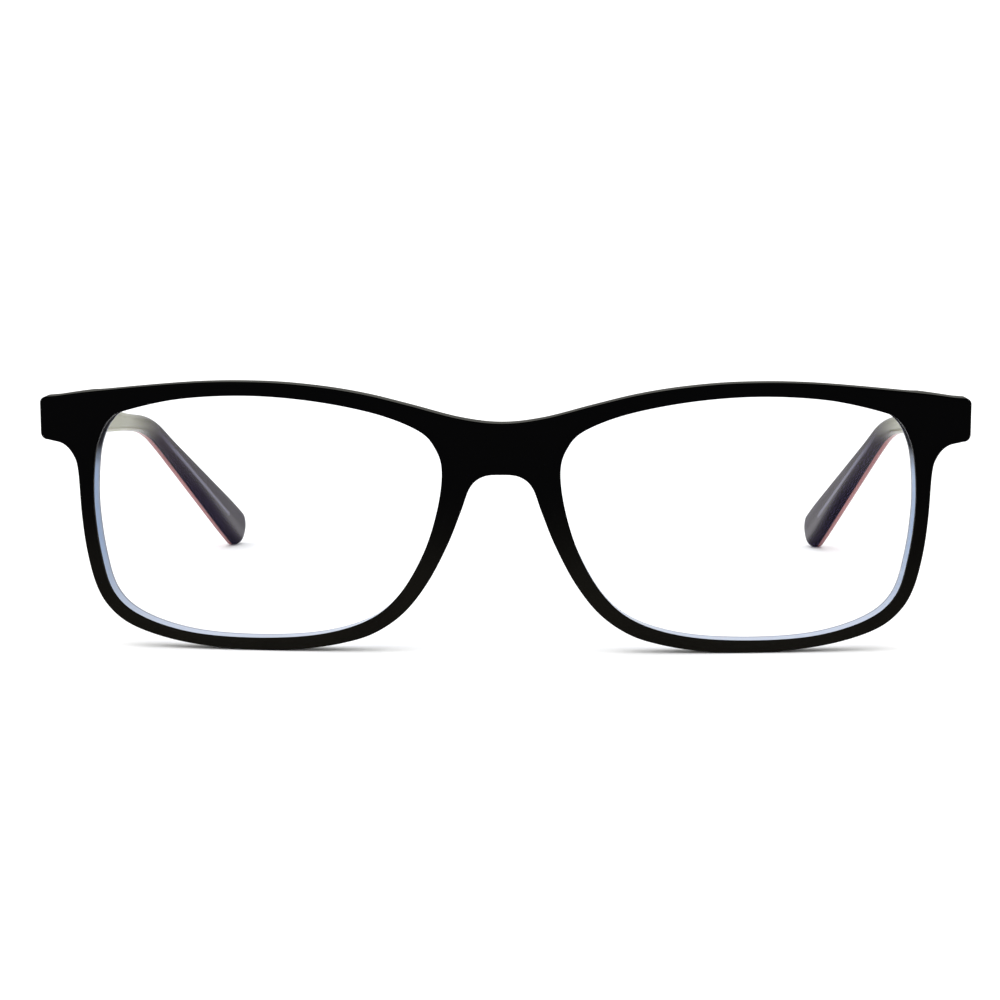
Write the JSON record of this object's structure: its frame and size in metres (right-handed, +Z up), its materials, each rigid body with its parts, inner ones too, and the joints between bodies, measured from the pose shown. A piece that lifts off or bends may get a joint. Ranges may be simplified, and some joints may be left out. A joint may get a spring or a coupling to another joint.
{
  "type": "eyeglasses",
  "caption": "Rectangular full-rim blue light glasses: a black and pale blue laminated front, two clear lenses and two laminated temples that fold on five-barrel hinges",
  "frame": {"origin": "middle of the footprint at table height, as the glasses stand open on their rims and temple tips", "axes": "+Z up; the front faces -Y; +X is the wearer's left"},
  "size_m": [0.1396, 0.1366, 0.0406],
  "materials": {
    "face_sheet": "polished black acetate",
    "back_sheet": "polished translucent pale blue acetate",
    "lens": "clear with a faint blue-violet coating",
    "temple_inner": "polished dark violet acetate",
    "temple_outer": "polished translucent rose acetate",
    "hinge_metal": "satin nickel silver",
    "screw": "bright steel",
    "core_wire": "satin nickel silver"
  },
  "bodies": {
    "front": {"front_face_sheet": "face_sheet", "front_back_sheet": "back_sheet", "lens_left": "lens", "lens_right": "lens", "nose_pad_left": "back_sheet", "nose_pad_right": "back_sheet", "front_hinge_leaf_left": "hinge_metal", "front_hinge_leaf_right": "hinge_metal", "hinge_screw_left": "screw", "hinge_screw_right": "screw"},
    "left_temple": {"temple_hinge_leaf_left": "hinge_metal", "temple_inner_left": "temple_inner", "temple_outer_left": "temple_outer", "temple_core_left": "core_wire"},
    "right_temple": {"temple_hinge_leaf_right": "hinge_metal", "temple_inner_right": "temple_inner", "temple_outer_right": "temple_outer", "temple_core_right": "core_wire"}
  },
  "joints": [
    {"name": "left_temple_fold", "type": "hinge", "parent": "front", "child": "left_temple", "pos_m": [0.0648, -0.05629, 0.03472], "axis": [0, 0.0881, 0.9961], "range_deg": [0, 86]},
    {"name": "right_temple_fold", "type": "hinge", "parent": "front", "child": "right_temple", "pos_m": [-0.0648, -0.05629, 0.03472], "axis": [0, -0.0881, -0.9961], "range_deg": [0, 81]}
  ]
}
